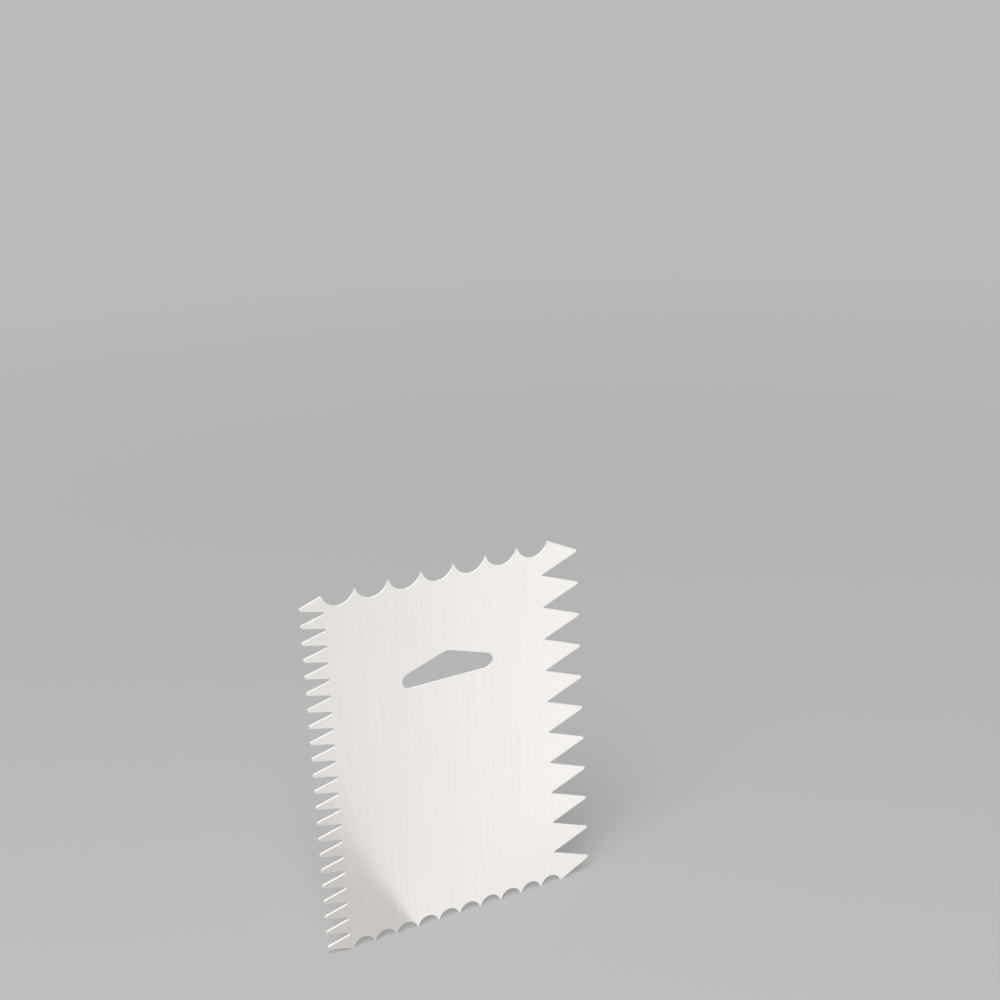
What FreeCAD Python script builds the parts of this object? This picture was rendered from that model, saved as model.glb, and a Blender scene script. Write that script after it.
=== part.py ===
import FreeCAD, Part
import math
import os

# An icing comb and smoother: one flat plate stamped from stainless steel sheet. Each of its four
# sides is a different working edge, and a gable-shaped hole near the top hangs it on a hook.
# Frame: +X to the right and +Z up as seen from the front, which faces -Y. The origin is the peak
# of the hang hole, halfway through the sheet.

# Driving dimensions, in millimetres
plate_width = 101.6         # tips of the fine teeth to tips of the coarse teeth
plate_height = 127.0        # cusps of the top edge to cusps of the bottom edge
sheet_thickness = 0.8

# Coarse saw teeth down the right side
coarse_count = 11
coarse_depth = 13.7         # rounded tip to rounded valley
coarse_tip_radius = 0.5
coarse_valley_radius = 0.25

# Fine teeth up the left side
fine_count = 22
fine_depth = 8.4            # rounded tip to rounded valley
fine_tip_radius = 0.6
fine_valley_radius = 0.6

# Wide scallops along the top
wide_count = 7
wide_depth = 4.33           # cusp to floor
wide_left_inset = 7.65      # tips of the fine teeth to the first cusp
wide_right_inset = 10.9     # last cusp to the tips of the coarse teeth

# Narrow scallops along the bottom
narrow_count = 10
narrow_depth = 2.93
narrow_left_inset = 9.3
narrow_right_inset = 11.4

cusp_radius = 0.25          # blunt ends of the cusps between scallops and at the corners

# Hang hole: a low gable over a flat base, with round ends and a soft peak
hole_drop = 29.3            # cusps of the top edge down to the peak
hole_width = 33.8
hole_height = 9.9           # base to peak
hole_end_radius = 2.7
hole_peak_radius = 4.0

touching_gap = 0.001        # rounds closer together than this touch

# Sides of the plate, measured from the peak of the hole
right_x = plate_width / 2
left_x = -plate_width / 2
top_z = hole_drop
bottom_z = hole_drop - plate_height
front_y = -sheet_thickness / 2


def on_front(point):
    return FreeCAD.Vector(point[0], front_y, point[1])


# An outline is a closed row of rounds, clockwise as seen from the front. A round is a centre and a
# signed radius: positive where the outline turns clockwise about it, as at a tip or a cusp, and
# negative in a valley or a scallop. The flank from one round to the next is their common tangent,
# and where they touch it shrinks to a point.
def flank(start, end):
    run = end[0] - start[0]
    rise = end[1] - start[1]
    apart = math.hypot(run, rise)
    change = max(-apart, min(apart, end[2] - start[2]))
    heading = math.atan2(rise, run) + math.asin(change / apart)
    inward_x = math.sin(heading)
    inward_z = -math.cos(heading)
    leave = (start[0] - start[2] * inward_x, start[1] - start[2] * inward_z)
    arrive = (end[0] - end[2] * inward_x, end[1] - end[2] * inward_z)
    if math.dist(leave, arrive) < touching_gap:
        arrive = leave
    return leave, arrive


# The arc about one round, from where a flank arrives to where the next one leaves
def arc_about(around, arrive, leave):
    middle_x = (arrive[0] + leave[0]) / 2 - around[0]
    middle_z = (arrive[1] + leave[1]) / 2 - around[1]
    reach = abs(around[2]) / math.hypot(middle_x, middle_z)
    middle = (around[0] + middle_x * reach, around[1] + middle_z * reach)
    return Part.Arc(on_front(arrive), on_front(middle), on_front(leave)).toShape()


# Arcs and flanks all the way round
def closed_outline(rounds):
    flanks = []
    for start, end in zip(rounds, rounds[1:] + rounds[:1]):
        flanks.append(flank(start, end))
    edges = []
    for index, around in enumerate(rounds):
        leave, next_arrive = flanks[index]
        edges.append(arc_about(around, flanks[index - 1][1], leave))
        if next_arrive != leave:
            edges.append(Part.LineSegment(on_front(leave), on_front(next_arrive)).toShape())
    return Part.Wire(edges)


# Cusps and scallops from one corner to the next: to the right along the top, to the left along the
# bottom. A scallop touches the cusps beside it, so its radius and theirs add up to the radius of an
# arc that is a pitch wide and as deep as the scallop.
def scalloped_side(start_x, end_x, cusp_z, count, depth):
    pitch = (end_x - start_x) / count
    outward = math.copysign(1, pitch)
    scallop_radius = ((pitch / 2) ** 2 + depth ** 2) / (2 * depth) - cusp_radius
    scallop_centre_z = cusp_z + outward * (scallop_radius - depth)
    cusp_centre_z = cusp_z - outward * cusp_radius
    rounds = [(start_x, cusp_centre_z, cusp_radius)]
    for index in range(count):
        cusp_x = start_x + (index + 1) * pitch
        rounds.append((cusp_x - pitch / 2, scallop_centre_z, -scallop_radius))
        rounds.append((cusp_x, cusp_centre_z, cusp_radius))
    return rounds


# Teeth at an even pitch from the top to the bottom or back, with their tips in line at tip_x
def toothed_side(start_z, end_z, tip_x, count, depth, tip_radius, valley_radius):
    pitch = (end_z - start_z) / count
    outward = math.copysign(1, tip_x)
    tip_centre_x = tip_x - outward * tip_radius
    valley_centre_x = tip_x - outward * (depth - valley_radius)
    rounds = []
    for index in range(count):
        valley_z = start_z + index * pitch
        if index > 0:
            rounds.append((valley_centre_x, valley_z, -valley_radius))
        rounds.append((tip_centre_x, valley_z + pitch / 2, tip_radius))
    return rounds


# The plate's outline, clockwise from the top left corner
def plate_outline():
    rounds = scalloped_side(left_x + wide_left_inset, right_x - wide_right_inset, top_z,
                            wide_count, wide_depth)
    rounds += toothed_side(top_z, bottom_z, right_x, coarse_count, coarse_depth,
                           coarse_tip_radius, coarse_valley_radius)
    rounds += scalloped_side(right_x - narrow_right_inset, left_x + narrow_left_inset, bottom_z,
                             narrow_count, narrow_depth)
    rounds += toothed_side(bottom_z, top_z, left_x, fine_count, fine_depth,
                           fine_tip_radius, fine_valley_radius)
    return closed_outline(rounds)


# The hang hole's outline: the peak, the right end and the left end
def hole_outline():
    end_x = hole_width / 2 - hole_end_radius
    end_z = hole_end_radius - hole_height
    peak = (0, -hole_peak_radius, hole_peak_radius)
    right_end = (end_x, end_z, hole_end_radius)
    left_end = (-end_x, end_z, hole_end_radius)
    return closed_outline([peak, right_end, left_end])


# The plate is one face with its hole, raised through the sheet from front to back
def comb_plate():
    face = Part.Face(plate_outline())
    opening = Part.Face(hole_outline())
    sheet_depth = FreeCAD.Vector(0, sheet_thickness, 0)
    return face.cut(opening).Faces[0].extrude(sheet_depth)


plate = comb_plate()
os.makedirs("parts", exist_ok=True)
plate.exportStep("parts/comb_plate.step")
print("comb_plate", plate.ShapeType, "valid", plate.isValid(), "volume", round(plate.Volume, 1), "mm3")
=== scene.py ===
# Looks of a flat steel icing comb and smoother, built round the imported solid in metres.
import math

import bpy
import numpy as np
from mathutils import Matrix, Vector
from mathutils.geometry import delaunay_2d_cdt


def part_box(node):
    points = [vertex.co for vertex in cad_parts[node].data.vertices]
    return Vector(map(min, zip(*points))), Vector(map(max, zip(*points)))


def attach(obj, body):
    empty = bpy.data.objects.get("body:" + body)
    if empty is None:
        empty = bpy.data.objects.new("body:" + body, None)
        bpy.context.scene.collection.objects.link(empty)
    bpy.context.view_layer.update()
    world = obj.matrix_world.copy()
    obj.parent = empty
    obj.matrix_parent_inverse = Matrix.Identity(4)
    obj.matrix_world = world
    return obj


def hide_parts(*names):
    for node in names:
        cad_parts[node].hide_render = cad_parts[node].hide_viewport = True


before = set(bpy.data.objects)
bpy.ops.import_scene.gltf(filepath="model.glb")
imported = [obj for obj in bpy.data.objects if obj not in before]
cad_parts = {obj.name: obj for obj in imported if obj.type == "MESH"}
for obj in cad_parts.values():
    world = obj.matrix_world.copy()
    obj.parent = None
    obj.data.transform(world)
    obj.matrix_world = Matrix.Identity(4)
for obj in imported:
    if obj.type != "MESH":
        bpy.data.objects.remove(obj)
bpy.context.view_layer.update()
mm = 0.001
plateLow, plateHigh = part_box("comb_plate")
print("frame loaded:", sorted(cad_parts))


# Camera at the photograph's viewing angle
viewCamera = {
    "at": (-0.28708, -0.57123, 0.27533),
    "headingDeg": 28.482,       # turned from +Y towards +X
    "pitchDeg": -19.327,        # below the horizon
    "rollDeg": -2.888,          # turned about the line of sight
    "levelDeg": 90,             # brings a new camera, which looks straight down, to the horizon
    "lens": 76.12,
    "sensor": 36.0,
    "nearest": 0.01,            # nothing closer than this is drawn
}


def makeCamera(spec):
    data = bpy.data.cameras.new("viewCamera")
    data.lens = spec["lens"]
    data.sensor_width = spec["sensor"]
    data.clip_start = spec["nearest"]
    camera = bpy.data.objects.new("viewCamera", data)
    bpy.context.scene.collection.objects.link(camera)
    heading = Matrix.Rotation(-math.radians(spec["headingDeg"]), 4, "Z")
    pitch = Matrix.Rotation(math.radians(spec["levelDeg"] + spec["pitchDeg"]), 4, "X")
    roll = Matrix.Rotation(math.radians(spec["rollDeg"]), 4, "Z")
    camera.matrix_world = Matrix.Translation(spec["at"]) @ heading @ pitch @ roll
    bpy.context.scene.camera = camera


makeCamera(viewCamera)
print("camera set")


# A socket of a node tree, so that shader maths reads as plain expressions
class Wire:
    def __init__(self, tree, socket=None):
        self.tree = tree
        self.socket = socket

    # Adds a node: settings first, then the values or links of its inputs; gives one output as a wire
    def node(self, kind, settings=None, inputs=None, output=0):
        made = self.tree.nodes.new("ShaderNode" + kind)
        for name, value in (settings or {}).items():
            if name == "stops":
                self.setStops(made.color_ramp, value)
            else:
                setattr(made, name, value)
        for name, value in (inputs or {}).items():
            if isinstance(value, Wire):
                self.tree.links.new(value.socket, made.inputs[name])
            else:
                made.inputs[name].default_value = value
        return Wire(self.tree, made.outputs[output] if len(made.outputs) else None)

    def setStops(self, ramp, stops):
        while len(ramp.elements) < len(stops):
            ramp.elements.new(1.0)
        for element, (place, colour) in zip(ramp.elements, stops):
            element.position = place
            element.color = colour

    def maths(self, operation, *values):
        return self.node("Math", {"operation": operation}, dict(enumerate(values)))

    # One number worked out from vectors, such as a length or a dot product
    def vectorMaths(self, operation, *vectors):
        return self.node("VectorMath", {"operation": operation}, dict(enumerate(vectors)), "Value")

    # Smooth step from 0 at low to 1 at high, which falls where low is the larger of the two
    def between(self, low, high):
        settings = {"interpolation_type": "SMOOTHSTEP"}
        inputs = {"Value": self, "From Min": low, "From Max": high}
        return self.node("MapRange", settings, inputs)

    # Goes from one colour to another with this value; a Mix node's colours are known by index alone
    def blend(self, first, second):
        factorIn, firstIn, secondIn, colourOut = 0, 6, 7, 2
        inputs = {factorIn: self, firstIn: first, secondIn: second}
        return self.node("Mix", {"data_type": "RGBA"}, inputs, colourOut)

    # Goes from one shader to another with this value
    def blendShaders(self, first, second):
        factorIn, firstIn, secondIn = 0, 1, 2
        return self.node("MixShader", None, {factorIn: self, firstIn: first, secondIn: second})

    # Grey tones along a range, through the given stops
    def ramp(self, low, high, tones):
        share = self.node("MapRange", None, {"Value": self, "From Min": low, "From Max": high})
        stops = [(place, (tone, tone, tone, 1)) for place, tone in tones]
        return self.node("ValToRGB", {"stops": stops}, {"Fac": share}, "Color")

    # Noise at this place, with the scale along each axis in cycles to the metre
    def noise(self, scale, detail, fineness):
        scaled = self.node("Mapping", None, {"Vector": self, "Scale": scale})
        inputs = {"Vector": scaled, "Scale": 1.0, "Detail": detail, "Roughness": fineness}
        return self.node("TexNoise", None, inputs)

    def __add__(self, other):
        return self.maths("ADD", self, other)

    def __radd__(self, other):
        return self.maths("ADD", other, self)

    def __sub__(self, other):
        return self.maths("SUBTRACT", self, other)

    def __rsub__(self, other):
        return self.maths("SUBTRACT", other, self)

    def __mul__(self, other):
        return self.maths("MULTIPLY", self, other)

    def __rmul__(self, other):
        return self.maths("MULTIPLY", other, self)


def freshTree(owner):
    owner.use_nodes = True
    owner.node_tree.nodes.clear()
    return Wire(owner.node_tree)


# Bright rolled stainless sheet: fine grain up and down the faces, soft clouds of polish, and the duller
# marks that a punch leaves through the thickness on every cut edge
brightSteel = {
    "pale": (0.945, 0.917, 0.893, 1),
    "deep": (0.907, 0.880, 0.857, 1),
    "grain": {"scale": (3000, 500, 36), "detail": 5.0, "fineness": 0.62},       # long and narrow streaks
    "band": {"scale": (1400, 200, 28), "detail": 3.0, "fineness": 0.5},
    "cloud": {"scale": (38, 38, 38), "detail": 3.0, "fineness": 0.5},
    "shear": {"scale": (3600, 260, 3600), "detail": 3.0, "fineness": 0.5},      # lines through the sheet
    "wave": {"scale": (24, 24, 24), "detail": 1.0, "fineness": 0.5},
    "noiseMiddle": 0.5,
    "grainShare": 0.62,         # shares of the tone, which goes from deep to pale
    "bandShare": 0.22,
    "cloudShare": 0.16,
    "toneFrom": 0.34,
    "toneTo": 0.62,
    "roughness": 0.20,
    "roughnessGrain": 0.12,     # how far each changes the roughness
    "roughnessCloud": 0.10,
    "roughnessCut": 0.10,
    "anisotropy": 0.55,
    "grainHeight": 1.4e-6,
    "waveHeight": 120e-6,
}


# A streak is grain on a face and shear on the cut edge. The tone is streak, band and cloud, each times its
# share. The roughness is its base plus streak, cloud and cut, each times how far it changes it, with the two
# noises taken from their middle. The height is streak and wave, each times its own.
def makeSteel(spec):
    material = bpy.data.materials.new("brightSteel")
    tree = freshTree(material)
    place = tree.node("TexCoord", output="Object")
    cut = tree.node("Attribute", {"attribute_name": "cutEdge"}, output="Fac")
    band = place.noise(**spec["band"])
    cloud = place.noise(**spec["cloud"])
    wave = place.noise(**spec["wave"])
    streak = (1 - cut) * place.noise(**spec["grain"]) + cut * place.noise(**spec["shear"])
    tone = streak * spec["grainShare"] + band * spec["bandShare"] + cloud * spec["cloudShare"]
    colour = tone.between(spec["toneFrom"], spec["toneTo"]).blend(spec["deep"], spec["pale"])
    rough = (spec["roughness"] + (streak - spec["noiseMiddle"]) * spec["roughnessGrain"]
             + (cloud - spec["noiseMiddle"]) * spec["roughnessCloud"] + cut * spec["roughnessCut"])
    height = streak * spec["grainHeight"] + wave * spec["waveHeight"]
    normal = tree.node("Bump", None, {"Strength": 1.0, "Distance": 1.0, "Height": height})
    shader = tree.node("BsdfPrincipled", None, {
        "Base Color": colour, "Metallic": 1.0, "Roughness": rough,
        "Anisotropic": spec["anisotropy"], "Normal": normal})
    tree.node("OutputMaterial", None, {"Surface": shader})
    return material


# The one piece: a flat plate with teeth down both sides, scallops along the top and the bottom, and a gable
# hole. Its width, height and thickness are the solid's.
combPlate = {
    "coarseCount": 11,
    "coarseDepth": 13.7 * mm,
    "coarseTip": 0.5 * mm,
    "coarseValley": 0.25 * mm,
    "fineCount": 22,
    "fineDepth": 8.4 * mm,
    "fineTip": 0.6 * mm,
    "fineValley": 0.6 * mm,
    "wideCount": 7,
    "wideDepth": 4.33 * mm,
    "wideLeftInset": 7.65 * mm,
    "wideRightInset": 10.9 * mm,
    "narrowCount": 10,
    "narrowDepth": 2.93 * mm,
    "narrowLeftInset": 9.3 * mm,
    "narrowRightInset": 11.4 * mm,
    "cusp": 0.25 * mm,
    "holeWidth": 33.8 * mm,
    "holeHeight": 9.9 * mm,
    "holeEnd": 2.7 * mm,
    "holePeak": 4.0 * mm,
    "turnStepDeg": 15,          # an arc gets a point at least this often
    "longestArc": 0.6 * mm,
    "longestRun": 1.2 * mm,
    "touching": 0.001 * mm,
    "frontRound": 0.14 * mm,    # edge rolled over by the punch
    "backRound": 0.10 * mm,     # edge deburred
    "flatRim": 0.02 * mm,       # keeps the rounds from bending the faces' shading
    "roundSteps": 5,
    "burnishShare": 0.45,       # share of the wall that the punch leaves bright
    "breakInset": 0.025 * mm,   # the rest breaks away a little inside it
    "breakRun": 0.04 * mm,
    "faceGrid": 3.0 * mm,
    "fillTolerance": 1e-9,
    "sharpDeg": 40,
}


# Every bend of an outline is a circle, with columns x, z and radius. The radius is positive where the
# outline turns clockwise, as at a tip or a cusp, and negative in a valley or a scallop.

# Cusps and scallops take turns at half a pitch. A scallop touches its cusps, so its radius and theirs add
# up to the half pitch squared plus the depth squared, over twice the depth.
def scallopRow(startX, endX, cuspZ, count, depth, cusp):
    pitch = (endX - startX) / count
    outward = np.sign(pitch)
    scallop = ((pitch / 2) ** 2 + depth ** 2) / (2 * depth) - cusp
    order = np.arange(2 * count + 1)
    isCusp = order % 2 == 0
    x = startX + order * pitch / 2
    z = np.where(isCusp, cuspZ - outward * cusp, cuspZ + outward * (scallop - depth))
    return np.stack([x, z, np.where(isCusp, cusp, -scallop)], axis=1)


# Tips and valleys take turns at half a pitch, with the tips at the side's edge
def toothRow(startZ, endZ, edge, count, depth, tip, valley):
    order = np.arange(2 * count - 1)
    isTip = order % 2 == 0
    inward = -np.sign(edge)
    x = np.where(isTip, edge + inward * tip, edge + inward * (depth - valley))
    z = startZ + (endZ - startZ) * (order + 1) / (2 * count)
    return np.stack([x, z, np.where(isTip, tip, -valley)], axis=1)


# Closed outline about a ring of circles that are joined by their common tangents. A tangent's heading is
# the heading from centre to centre plus the arc sine of the change of radius over the distance, and a point
# of an arc is its centre plus the radius times the normal on the left of the heading. Points that fall
# together, where two circles touch, are kept once.
def outlineAbout(circles, spec):
    gap = np.roll(circles, -1, axis=0) - circles
    change = np.clip(gap[:, 2] / np.hypot(gap[:, 0], gap[:, 1]), -1, 1)
    leave = np.arctan2(gap[:, 1], gap[:, 0]) + np.arcsin(change)
    arrive = np.roll(leave, 1)
    turn = (leave - arrive + np.pi) % (2 * np.pi) - np.pi
    byTurn = np.abs(turn) / math.radians(spec["turnStepDeg"])
    byLength = np.abs(turn * circles[:, 2]) / spec["longestArc"]
    parts = np.ceil(np.maximum(byTurn, byLength)).astype(int)
    owner = np.repeat(np.arange(len(circles)), parts + 1)
    first = np.cumsum(parts + 1) - parts - 1
    angle = arrive[owner] + turn[owner] * (np.arange(len(owner)) - first[owner]) / parts[owner]
    x = circles[owner, 0] - circles[owner, 2] * np.sin(angle)
    z = circles[owner, 1] + circles[owner, 2] * np.cos(angle)
    path = np.stack([x, z], axis=1)
    apart = np.linalg.norm(path - np.roll(path, 1, axis=0), axis=1) > spec["touching"]
    return splitRuns(path[apart], spec["longestRun"])


# Splits each run of a closed path that is longer than the limit into equal parts
def splitRuns(path, limit):
    run = np.roll(path, -1, axis=0) - path
    parts = np.ceil(np.hypot(run[:, 0], run[:, 1]) / limit).astype(int).clip(1)
    owner = np.repeat(np.arange(len(path)), parts)
    share = (np.arange(parts.sum()) - np.repeat(np.cumsum(parts) - parts, parts)) / parts[owner]
    return path[owner] + run[owner] * share[:, None]


# Step into the sheet at each point: the two runs' inward normals added, then divided by one plus their
# product, so that the moved runs all lie one unit in from the old ones
def inwardSteps(path):
    run = np.roll(path, -1, axis=0) - path
    run = run / np.linalg.norm(run, axis=1, keepdims=True)
    inward = np.stack([run[:, 1], -run[:, 0]], axis=1)
    before = np.roll(inward, 1, axis=0)
    return (inward + before) / (1 + np.sum(inward * before, axis=1, keepdims=True))


# Edge profile from front to back, as columns of inset, depth and cut: a flat rim, a quarter round, the wall
# with its step from burnished to broken, a quarter round and a flat rim. Cut is 1 on the wall, 0 on a face.
def edgeProfile(spec, front, back):
    quarter = np.linspace(0, np.pi / 2, spec["roundSteps"])
    rise, fall = np.sin(quarter), np.cos(quarter)
    frontRound, backRound, rim = spec["frontRound"], spec["backRound"], spec["flatRim"]
    broken = spec["breakInset"]
    breakStart = front + (back - front) * spec["burnishShare"]
    rolled = np.stack([frontRound * (1 - rise), front + frontRound * (1 - fall), rise], axis=1)
    wall = [[0.0, breakStart, 1.0], [broken, breakStart + spec["breakRun"], 1.0]]
    deburred = np.stack([broken + backRound * (1 - rise), back - backRound * (1 - fall), rise], axis=1)
    frontRim = [[frontRound + rim, front, 0.0]]
    backRim = [[broken + backRound + rim, back, 0.0]]
    return np.vstack([frontRim, rolled, wall, deburred[::-1], backRim])


# The profile carried round a closed path: every point is the path's, moved in by the inset along its step
def sweepEdge(path, profile, firstIndex):
    steps = inwardSteps(path)
    flat = path[None] + profile[:, :1, None] * steps[None]
    depth = np.broadcast_to(profile[:, 1:2], flat.shape[:2])
    points = np.stack([flat[..., 0], depth, flat[..., 1]], axis=-1)
    cut = np.broadcast_to(profile[:, 2:3], flat.shape[:2])
    rows, count = depth.shape
    index = firstIndex + np.arange(rows * count).reshape(rows, count)
    after = np.roll(index, -1, axis=1)
    quads = np.stack([index[:-1], after[:-1], after[1:], index[1:]], axis=-1).reshape(-1, 4)
    return points.reshape(-1, 3), cut.ravel(), quads, index


# True for points inside a closed path: an odd number of its runs cross the line to their right
def isInside(points, path):
    after = np.roll(path, -1, axis=0)
    spans = (path[None, :, 1] > points[:, None, 1]) != (after[None, :, 1] > points[:, None, 1])
    rise = np.where(after[:, 1] == path[:, 1], 1, after[:, 1] - path[:, 1])     # a level run spans nothing
    slope = (after[:, 0] - path[:, 0]) / rise
    crossing = path[None, :, 0] + (points[:, None, 1] - path[None, :, 1]) * slope[None]
    return np.sum(spans & (points[:, None, 0] < crossing), axis=1) % 2 == 1


# One face of the plate: the rim of the outline, the rim of the hole and an even grid between them, joined
# into triangles that follow both rims
def fillFace(outer, hole, spacing, tolerance):
    low, high = outer.min(axis=0), outer.max(axis=0)
    x, z = np.meshgrid(np.arange(low[0], high[0], spacing), np.arange(low[1], high[1], spacing))
    x = x + spacing / 2 * (np.arange(len(x))[:, None] % 2)
    grid = np.stack([x.ravel(), z.ravel()], axis=1)
    rims = np.vstack([outer, hole])
    clear = np.min(np.linalg.norm(grid[:, None] - rims[None], axis=-1), axis=1) > spacing / 2
    grid = grid[clear & isInside(grid, outer) & ~isInside(grid, hole)]
    points = np.vstack([rims, grid])
    first = np.arange(len(outer))
    second = len(outer) + np.arange(len(hole))
    edges = np.vstack([np.stack([first, np.roll(first, -1)], axis=1),
                       np.stack([second, np.roll(second, -1)], axis=1)])
    insideOnly = 1
    joined = delaunay_2d_cdt(points.tolist(), edges.tolist(), [], insideOnly, tolerance)
    triangles = np.array(joined[2])     # after its points and its edges
    middle = points[triangles].mean(axis=1)
    return grid, triangles[~isInside(middle, hole)]


# The four working edges, clockwise from the left end of the top as seen from the front
def combOutline(spec):
    left, right = plateLow.x, plateHigh.x
    top, bottom = plateHigh.z, plateLow.z
    return outlineAbout(np.vstack([
        scallopRow(left + spec["wideLeftInset"], right - spec["wideRightInset"], top,
                   spec["wideCount"], spec["wideDepth"], spec["cusp"]),
        toothRow(top, bottom, right, spec["coarseCount"], spec["coarseDepth"],
                 spec["coarseTip"], spec["coarseValley"]),
        scallopRow(right - spec["narrowRightInset"], left + spec["narrowLeftInset"], bottom,
                   spec["narrowCount"], spec["narrowDepth"], spec["cusp"]),
        toothRow(bottom, top, left, spec["fineCount"], spec["fineDepth"],
                 spec["fineTip"], spec["fineValley"])]), spec)


# The hole runs the other way round, so that the sheet lies on the same hand as along the outline
def holeOutline(spec):
    endX = spec["holeWidth"] / 2 - spec["holeEnd"]
    endZ = spec["holeEnd"] - spec["holeHeight"]
    peak = (0, -spec["holePeak"], spec["holePeak"])
    rightEnd = (endX, endZ, spec["holeEnd"])
    leftEnd = (-endX, endZ, spec["holeEnd"])
    return outlineAbout(np.array([peak, rightEnd, leftEnd]), spec)[::-1]


# The edge is swept round the outline and round the hole, and each face is filled between the swept rims
def makeCombPlate(spec, material):
    outline = combOutline(spec)
    hole = holeOutline(spec)
    profile = edgeProfile(spec, plateLow.y, plateHigh.y)
    outerPoints, outerCut, outerQuads, outerIndex = sweepEdge(outline, profile, 0)
    holePoints, holeCut, holeQuads, holeIndex = sweepEdge(hole, profile, len(outerPoints))
    swept = np.vstack([outerPoints, holePoints])
    points, cuts, triangles = [swept], [outerCut, holeCut], []
    total = len(swept)
    # The front face, then the back face, whose triangles turn the other way
    for row, depth, order in ((0, plateLow.y, 1), (-1, plateHigh.y, -1)):
        rims = np.concatenate([outerIndex[row], holeIndex[row]])
        flat = swept[rims][:, [0, 2]]
        outerRim, holeRim = flat[:len(outline)], flat[len(outline):]
        grid, faces = fillFace(outerRim, holeRim, spec["faceGrid"], spec["fillTolerance"])
        index = np.concatenate([rims, total + np.arange(len(grid))])
        triangles.append(index[faces][:, ::order])
        points.append(np.insert(grid, 1, depth, axis=1))
        cuts.append(np.zeros(len(grid)))
        total += len(grid)
    mesh = bpy.data.meshes.new("combPlate")
    faces = outerQuads.tolist() + holeQuads.tolist() + np.vstack(triangles).tolist()
    mesh.from_pydata(np.vstack(points).tolist(), [], faces)
    mesh.attributes.new("cutEdge", "FLOAT", "POINT").data.foreach_set("value", np.concatenate(cuts))
    mesh.shade_smooth()
    mesh.set_sharp_from_angle(angle=math.radians(spec["sharpDeg"]))
    mesh.materials.append(material)
    plate = bpy.data.objects.new("combPlate", mesh)
    bpy.context.scene.collection.objects.link(plate)
    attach(plate, "root")
    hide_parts("comb_plate")
    print("comb plate:", len(mesh.vertices), "points,", len(mesh.polygons), "faces")


makeCombPlate(combPlate, makeSteel(brightSteel))


# Pale studio: a floor that runs out to an even backdrop, a large soft key light, and a painted reflection
# with darker painted bands and a brighter sky with a painted glint, which only the steel mirrors
studio = {
    "backdrop": (0.500, 0.497, 0.491, 1),
    "floor": (0.545, 0.541, 0.534, 1),
    "floorSize": 60.0,
    "fadeFrom": 0.15,           # distances over which the floor goes over into the backdrop
    "fadeTo": 1.1,
    "paintedReflectionSlantFront": 0.537,    # the painted reflection's soft edge crosses the floor at these slants
    "paintedReflectionSlantBack": 2.0,
    "paintedReflectionFrom": -0.40,
    "paintedReflectionTo": 0.05,
    # painted reflection: tones of the ramp, darker to the left and white to the right
    "paintedReflectionTones": [(0.0, 0.66), (0.75, 0.84), (0.97, 1.0), (1.0, 1.0)],
    # painted reflection: one tone, a little below white, within this reach of the plate's foot
    "paintedFootTone": (0.93, 0.93, 0.93, 1),
    "paintedFootReach": 0.07,
    # painted reflection: tone and soft edge of the darker painted bands
    "paintedBandTone": (0.64, 0.635, 0.625, 1),
    "paintedBandEdge": 0.004,
    # painted bands in what the steel mirrors, in front of the plate and behind it
    "frontPaintedBand": {"at": -0.016, "width": 0.080, "lean": 0.12, "fadeFrom": 0.09, "fadeTo": 0.19},
    "backPaintedBand": {"at": 0.130, "width": 0.060, "lean": 0.23, "fadeFrom": 0.30, "fadeTo": 0.50},
    "steelHorizon": 0.68,       # painted reflection: what the steel alone mirrors at the horizon and high above it
    "steelSky": 1.0,
    "skyFrom": -0.02,           # sines of the heights between which it brightens
    "skyTo": 0.30,
    # painted glint: a brighter patch of the sky towards the back left that only glossy rays see, no lamp
    "paintedGlintToward": (-0.100, 0.891, 0.443),
    "paintedGlintFrom": 0.70,            # cosines of the angles from the painted glint's middle to its soft edge
    "paintedGlintTo": 0.92,
    "paintedGlintBoost": 0.38,
    "ambient": 0.55,
    "keyAt": (-0.9, -1.0, 1.4),
    "keySize": 1.6,
    "keyPower": 24.0,
}


# A painted band, darker in what the steel mirrors: a straight strip that starts beside the plate, leans to
# the right as it runs away from it, and fades out
def paintedBandMask(across, away, gap, edge):
    past = gap["at"] + away * gap["lean"] - across
    strip = past.between(0.0, edge) * past.between(gap["width"] + edge, gap["width"])
    return strip * away.between(-edge, 0.0) * away.between(gap["fadeTo"], gap["fadeFrom"])
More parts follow.
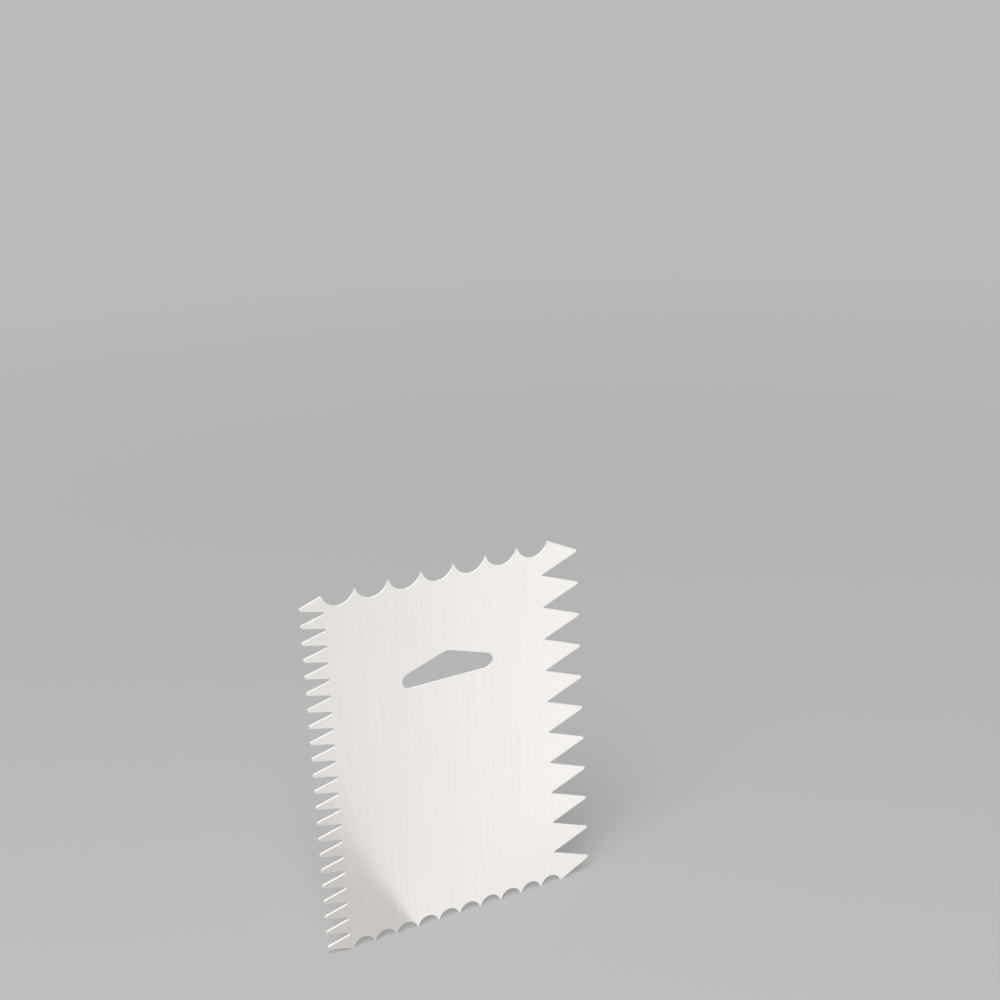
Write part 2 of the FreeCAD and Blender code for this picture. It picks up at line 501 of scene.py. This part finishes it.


# The lit floor fades into the backdrop with distance. Glossy rays see a painted reflection there instead: a
# tone ramp darker to the left, one tone near the foot and darker painted bands.
def makeFloor(spec):
    half = spec["floorSize"] / 2
    corners = np.array([[-1, -1], [1, -1], [1, 1], [-1, 1]]) * half
    mesh = bpy.data.meshes.new("floor")
    mesh.from_pydata(np.insert(corners, 2, plateLow.z, axis=1).tolist(), [], [[0, 1, 2, 3]])
    material = bpy.data.materials.new("paleFloor")
    tree = freshTree(material)
    place = tree.node("TexCoord", output="Object")
    glossy = tree.node("LightPath", output="Is Glossy Ray")
    lit = tree.node("BsdfDiffuse", None, {"Color": spec["floor"]})
    backdrop = tree.node("Emission", None, {"Color": spec["backdrop"]})
    away = tree.vectorMaths("LENGTH", place)
    seen = away.between(spec["fadeFrom"], spec["fadeTo"]).blendShaders(lit, backdrop)
    across = tree.node("SeparateXYZ", None, {"Vector": place}, "X")
    ahead = 0 - tree.node("SeparateXYZ", None, {"Vector": place}, "Y")
    # painted reflection: a grey ramp across the floor that only glossy rays see, darker to the left
    slant = tree.maths("MAXIMUM", ahead * spec["paintedReflectionSlantFront"], ahead * -spec["paintedReflectionSlantBack"])
    paintedReflection = (across - slant).ramp(spec["paintedReflectionFrom"], spec["paintedReflectionTo"], spec["paintedReflectionTones"])
    # painted reflection: near the plate's foot the steel mirrors one tone
    paintedFoot = tree.maths("ABSOLUTE", ahead).between(spec["paintedFootReach"], 0.0)
    paintedReflection = paintedFoot.blend(paintedReflection, spec["paintedFootTone"])
    # painted reflection: darker painted bands in front of the plate and behind it
    for side, gap in ((ahead, spec["frontPaintedBand"]), (0 - ahead, spec["backPaintedBand"])):
        paintedReflection = paintedBandMask(across, side, gap, spec["paintedBandEdge"]).blend(paintedReflection, spec["paintedBandTone"])
    # glossy rays see the painted reflection, all other rays the lit floor and the backdrop
    bright = tree.node("Emission", None, {"Color": paintedReflection})
    tree.node("OutputMaterial", None, {"Surface": glossy.blendShaders(seen, bright)})
    mesh.materials.append(material)
    floor = bpy.data.objects.new("floor", mesh)
    bpy.context.scene.collection.objects.link(floor)


# The camera sees the backdrop, and the steel a painted reflection: a sky that brightens with height and a
# painted glint towards the back left, which glossy rays alone see. All else gets one ambient level.
def makeWorld(spec):
    world = bpy.data.worlds.new("studio")
    bpy.context.scene.world = world
    tree = freshTree(world)
    direction = tree.node("TexCoord", output="Generated")
    height = tree.node("SeparateXYZ", None, {"Vector": direction}, "Z")
    camera = tree.node("LightPath", output="Is Camera Ray")
    glossy = tree.node("LightPath", output="Is Glossy Ray")
    climb = spec["steelSky"] - spec["steelHorizon"]
    # painted reflection: a sky brighter with height, seen by glossy rays alone
    sky = height.between(spec["skyFrom"], spec["skyTo"]) * climb + spec["steelHorizon"]
    # painted highlight: the sky is brighter towards the painted glint
    facing = tree.vectorMaths("DOT_PRODUCT", direction, spec["paintedGlintToward"])
    sky = sky * (1 + facing.between(spec["paintedGlintFrom"], spec["paintedGlintTo"]) * spec["paintedGlintBoost"])
    level = glossy * sky + (1 - glossy) * spec["ambient"]
    around = tree.node("Background", None, {"Color": (1, 1, 1, 1), "Strength": level})
    backdrop = tree.node("Background", None, {"Color": spec["backdrop"], "Strength": 1.0})
    tree.node("OutputWorld", None, {"Surface": camera.blendShaders(around, backdrop)})


def makeKeyLight(spec):
    data = bpy.data.lights.new("keyLight", "AREA")
    data.shape = "DISK"
    data.size = spec["keySize"]
    data.energy = spec["keyPower"]
    light = bpy.data.objects.new("keyLight", data)
    bpy.context.scene.collection.objects.link(light)
    light.location = spec["keyAt"]
    light.visible_glossy = False        # the steel mirrors the painted reflection and the painted sky instead
    aim = (plateLow + plateHigh) / 2 - Vector(spec["keyAt"])
    light.rotation_euler = aim.to_track_quat("-Z", "Y").to_euler()


makeFloor(studio)
makeWorld(studio)
makeKeyLight(studio)
bpy.context.scene.view_settings.view_transform = "Standard"
print("studio set")
